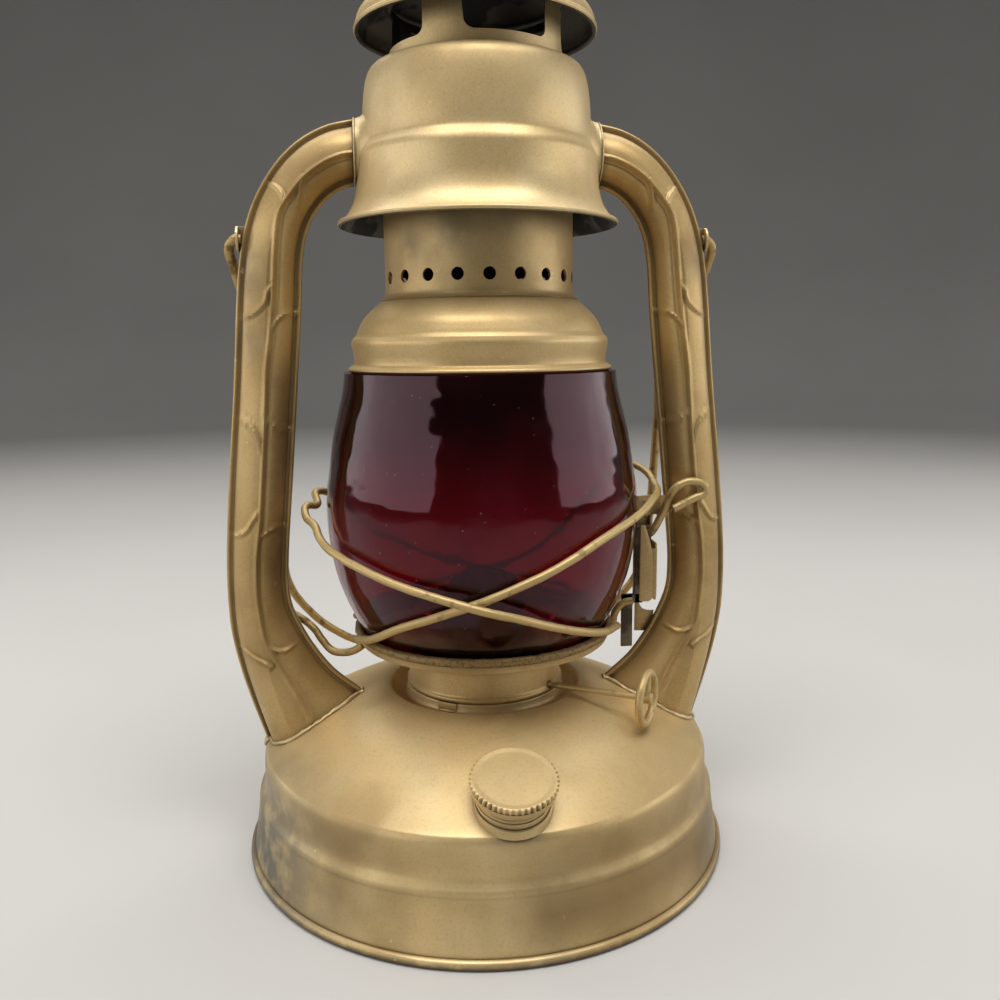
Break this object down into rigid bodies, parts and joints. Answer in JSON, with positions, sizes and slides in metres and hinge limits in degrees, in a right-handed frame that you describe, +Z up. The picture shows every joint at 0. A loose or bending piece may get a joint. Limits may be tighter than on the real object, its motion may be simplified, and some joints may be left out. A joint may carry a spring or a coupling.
{
  "type": "railroad lantern",
  "caption": "Cold-blast tubular kerosene lantern in matte brass-gold paint with a deep ruby globe, wire guard, finger lift lever and wire bail",
  "frame": {"origin": "centre of the base ring on the table plane, on the lantern's vertical axis", "axes": "+Z up along the lantern's axis, front with the filler cap facing -Y, lift lever at +X"},
  "size_m": [0.1786, 0.1714, 0.291],
  "materials": {
    "paint": "matte brass-gold metallic paint on sheet steel, worn",
    "wire": "brass-gold paint on steel wire, worn through in patches",
    "rusty_wire": "rough worn paint and rust on steel wire",
    "dark_steel": "sooted steel",
    "brass": "dull brass",
    "ruby_glass": "clear polished deep ruby glass",
    "cork": "pressed cork gasket",
    "cotton": "flat woven cotton"
  },
  "bodies": {
    "stand": {"fount_shell": "paint", "fount_bottom": "paint", "tank_top": "paint", "burner_collar": "brass", "filler_neck": "paint", "burner_drum": "paint", "burner_deck": "dark_steel", "burner_dome": "dark_steel", "wick_tube": "brass", "burner_latch_tab": "wire", "left_tube_front": "paint", "left_tube_rear": "paint", "right_tube_front": "paint", "right_tube_rear": "paint", "lift_channel": "paint", "lever_lug": "paint", "hood": "paint", "flue_guide": "dark_steel", "crown": "paint", "top_cap": "paint", "bail_ear_right": "paint", "bail_ear_left": "paint"},
    "carrier": {"globe_plate": "dark_steel", "carrier_ring": "rusty_wire", "guard_hoop_left": "wire", "guard_hoop_right": "wire", "guide_arm": "wire", "lift_arm": "wire", "lift_slide": "paint", "globe": "ruby_glass"},
    "chimney": {"bell": "paint", "chimney_tube": "paint", "bell_spring": "dark_steel"},
    "lever": {"lift_lever": "wire"},
    "raiser": {"wick_shaft": "wire", "wick_wheel_1": "brass", "wick_wheel_2": "brass", "wick_knob": "wire"},
    "wick": {"wick": "cotton"},
    "filler_seal": {"filler_gasket": "cork"},
    "filler_lid": {"filler_cap": "paint"},
    "bail": {"bail": "wire"}
  },
  "joints": [
    {"name": "globe_lift", "type": "slide", "parent": "stand", "child": "carrier", "axis": [0, 0, 1], "range_m": [0, 0.0104]},
    {"name": "bell_rise", "type": "slide", "parent": "stand", "child": "chimney", "axis": [0, 0, 1], "range_m": [0, 0.0104], "deforming": ["bell_spring"]},
    {"name": "lever_press", "type": "hinge", "parent": "stand", "child": "lever", "pos_m": [0.0646, -0.0082, 0.1163], "axis": [0, 1, 0], "range_deg": [0, 80]},
    {"name": "wick_turn", "type": "hinge", "parent": "stand", "child": "raiser", "pos_m": [-0.00263, -0.0046, 0.0592], "axis": [0.8686, -0.4955, 0], "range_deg": [-163, 68]},
    {"name": "wick_rise", "type": "slide", "parent": "stand", "child": "wick", "axis": [0, 0, 1], "range_m": [-0.012, 0.005]},
    {"name": "cap_rise", "type": "slide", "parent": "stand", "child": "filler_seal", "axis": [0, -0.3007, 0.9537], "range_m": [0, 0.0032]},
    {"name": "cap_turn", "type": "hinge", "parent": "filler_seal", "child": "filler_lid", "pos_m": [0.0007, -0.0688, 0.04335], "axis": [0, -0.3007, 0.9537], "range_deg": [0, 720]},
    {"name": "bail_swing", "type": "hinge", "parent": "stand", "child": "bail", "pos_m": [0, 0.0005, 0.2115], "axis": [1, 0, 0], "range_deg": [0, 309]}
  ],
  "couplings": [
    {"joint": "bell_rise", "follows": "globe_lift", "ratio": 1},
    {"joint": "lever_press", "follows": "globe_lift", "rad_per_m": 134.2},
    {"joint": "wick_rise", "follows": "wick_turn", "m_per_rad": 0.0042},
    {"joint": "cap_rise", "follows": "cap_turn", "m_per_rad": 0.00025464}
  ]
}
